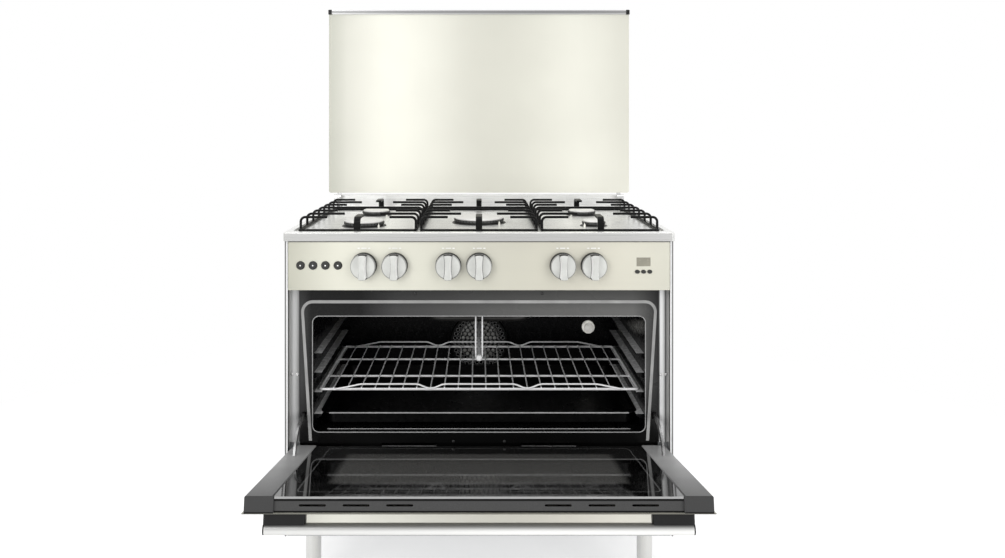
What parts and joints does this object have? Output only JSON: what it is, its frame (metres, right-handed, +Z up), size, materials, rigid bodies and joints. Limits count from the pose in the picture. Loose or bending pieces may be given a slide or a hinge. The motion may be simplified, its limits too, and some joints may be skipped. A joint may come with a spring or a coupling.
{
  "type": "gas cooker",
  "caption": "Free-standing gas cooker with a raised splash lid, wire pan supports over gas burners, knobs, a drop-down oven door shown open, a wire shelf, a spit and a drawer.",
  "frame": {"origin": "on the floor, under the middle of the cooker's bounding box with its oven door open", "axes": "+Z up, +X to the right seen from the front, +Y from the front to the back"},
  "size_m": [0.903, 0.949, 1.4405],
  "materials": {
    "cream_steel": "cream-toned brushed steel",
    "brushed_steel": "satin",
    "polished_steel": "polished",
    "aluminium": "satin",
    "galvanised": "galvanised",
    "black_enamel": "matt enamel",
    "grey_enamel": "speckled enamel",
    "grey_paint": "satin paint",
    "black_plastic": "moulded",
    "silver_plastic": "metallised",
    "display": "lens",
    "dark_glass": "tinted",
    "lamp_glass": "clear",
    "seal": "braided seal",
    "brass": "plain",
    "chrome_wire": "plated",
    "ceramic": "glazed ceramic"
  },
  "bodies": {
    "cooker": {"side_panels": "grey_paint", "rear_panel": "galvanised", "base_pan": "galvanised", "legs": "polished_steel", "front_frame": "grey_enamel", "front_columns": "polished_steel", "door_hinge_cases": "galvanised", "drawer_runners": "galvanised", "worktop": "brushed_steel", "burner_cups": "aluminium", "burner_rings": "aluminium", "burner_caps": "aluminium", "electrodes": "ceramic", "lid_hinge_posts": "polished_steel", "control_panel": "cream_steel", "timer_and_switches": "display", "gas_pipes": "aluminium", "gas_taps": "brass", "oven_cavity": "grey_enamel", "oven_floor": "grey_enamel", "door_gasket": "seal", "fan_cover": "grey_enamel", "motors": "galvanised", "spit_hanger": "chrome_wire", "oven_lamp": "lamp_glass", "oven_burners": "brushed_steel"},
    "lid": {"lid_panel": "cream_steel", "lid_trim": "aluminium", "lid_trim_caps": "black_plastic", "lid_hinge_arms": "polished_steel"},
    "door": {"door_skin": "cream_steel", "door_outer_glass": "dark_glass", "door_side_rails": "grey_paint", "door_cross_rails": "grey_paint", "door_inner_glass": "dark_glass", "door_handle_bar": "brushed_steel", "door_handle_brackets": "black_plastic", "door_hinge_arms": "polished_steel"},
    "rack": {"oven_rack": "chrome_wire"},
    "tray": {"oven_tray": "grey_enamel"},
    "fan": {"oven_fan": "aluminium"},
    "spit": {"spit": "chrome_wire"},
    "drawer": {"drawer_front": "cream_steel", "drawer_box": "galvanised"},
    "pan_support_left": {"pan_support_left": "black_enamel"},
    "pan_support_middle": {"pan_support_middle": "black_enamel"},
    "pan_support_right": {"pan_support_right": "black_enamel"},
    "knob_1": {"knob_1": "silver_plastic"},
    "knob_2": {"knob_2": "silver_plastic"},
    "knob_3": {"knob_3": "silver_plastic"},
    "knob_4": {"knob_4": "silver_plastic"},
    "knob_5": {"knob_5": "silver_plastic"},
    "knob_6": {"knob_6": "silver_plastic"},
    "push_button_1": {"push_button_1": "black_plastic"},
    "push_button_2": {"push_button_2": "black_plastic"},
    "push_button_3": {"push_button_3": "black_plastic"},
    "push_button_4": {"push_button_4": "black_plastic"},
    "timer_button_1": {"timer_button_1": "black_plastic"},
    "timer_button_2": {"timer_button_2": "black_plastic"},
    "timer_button_3": {"timer_button_3": "black_plastic"}
  },
  "joints": [
    {"name": "door_hinge", "type": "hinge", "parent": "cooker", "child": "door", "pos_m": [0, -0.09604, 0.332], "axis": [-1, 0, 0], "range_deg": [0, 80.5]},
    {"name": "lid_hinge", "type": "hinge", "parent": "cooker", "child": "lid", "pos_m": [0, 0.42646, 0.88], "axis": [1, 0, 0], "range_deg": [0, 90]},
    {"name": "rack_slide", "type": "slide", "parent": "cooker", "child": "rack", "axis": [0, 1, 0], "range_m": [-0.3, 0]},
    {"name": "tray_slide", "type": "slide", "parent": "cooker", "child": "tray", "axis": [0, 1, 0], "range_m": [-0.2, 0]},
    {"name": "drawer_slide", "type": "slide", "parent": "cooker", "child": "drawer", "axis": [0, 1, 0], "range_m": [-0.3, 0]},
    {"name": "pan_support_left_lift", "type": "slide", "parent": "cooker", "child": "pan_support_left", "axis": [0, 0, -1], "range_m": [-0.06, 0]},
    {"name": "pan_support_middle_lift", "type": "slide", "parent": "cooker", "child": "pan_support_middle", "axis": [0, 0, -1], "range_m": [-0.06, 0]},
    {"name": "pan_support_right_lift", "type": "slide", "parent": "cooker", "child": "pan_support_right", "axis": [0, 0, -1], "range_m": [-0.06, 0]},
    {"name": "fan_spin", "type": "hinge", "parent": "cooker", "child": "fan", "pos_m": [0, 0.34396, 0.474], "axis": [0, -1, 0], "continuous": true},
    {"name": "spit_spin", "type": "hinge", "parent": "cooker", "child": "spit", "pos_m": [0, 0.34396, 0.54], "axis": [0, -1, 0], "continuous": true},
    {"name": "knob_1_turn", "type": "hinge", "parent": "cooker", "child": "knob_1", "pos_m": [-0.2645, -0.11754, 0.7735], "axis": [0, -1, 0], "range_deg": [0, 210]},
    {"name": "knob_2_turn", "type": "hinge", "parent": "cooker", "child": "knob_2", "pos_m": [-0.1935, -0.11754, 0.7735], "axis": [0, -1, 0], "range_deg": [0, 210]},
    {"name": "knob_3_turn", "type": "hinge", "parent": "cooker", "child": "knob_3", "pos_m": [-0.0705, -0.11754, 0.7735], "axis": [0, -1, 0], "range_deg": [0, 210]},
    {"name": "knob_4_turn", "type": "hinge", "parent": "cooker", "child": "knob_4", "pos_m": [0.0005, -0.11754, 0.7735], "axis": [0, -1, 0], "range_deg": [0, 210]},
    {"name": "knob_5_turn", "type": "hinge", "parent": "cooker", "child": "knob_5", "pos_m": [0.1925, -0.11754, 0.7735], "axis": [0, -1, 0], "range_deg": [0, 210]},
    {"name": "knob_6_turn", "type": "hinge", "parent": "cooker", "child": "knob_6", "pos_m": [0.2635, -0.11754, 0.7735], "axis": [0, -1, 0], "range_deg": [0, 210]},
    {"name": "push_button_1_press", "type": "slide", "parent": "cooker", "child": "push_button_1", "axis": [0, 1, 0], "range_m": [0, 0.003], "stiffness_N_per_m": 600},
    {"name": "push_button_2_press", "type": "slide", "parent": "cooker", "child": "push_button_2", "axis": [0, 1, 0], "range_m": [0, 0.003], "stiffness_N_per_m": 600},
    {"name": "push_button_3_press", "type": "slide", "parent": "cooker", "child": "push_button_3", "axis": [0, 1, 0], "range_m": [0, 0.003], "stiffness_N_per_m": 600},
    {"name": "push_button_4_press", "type": "slide", "parent": "cooker", "child": "push_button_4", "axis": [0, 1, 0], "range_m": [0, 0.003], "stiffness_N_per_m": 600},
    {"name": "timer_button_1_press", "type": "slide", "parent": "cooker", "child": "timer_button_1", "axis": [0, 1, 0], "range_m": [0, 0.0015], "stiffness_N_per_m": 500},
    {"name": "timer_button_2_press", "type": "slide", "parent": "cooker", "child": "timer_button_2", "axis": [0, 1, 0], "range_m": [0, 0.0015], "stiffness_N_per_m": 500},
    {"name": "timer_button_3_press", "type": "slide", "parent": "cooker", "child": "timer_button_3", "axis": [0, 1, 0], "range_m": [0, 0.0015], "stiffness_N_per_m": 500}
  ]
}
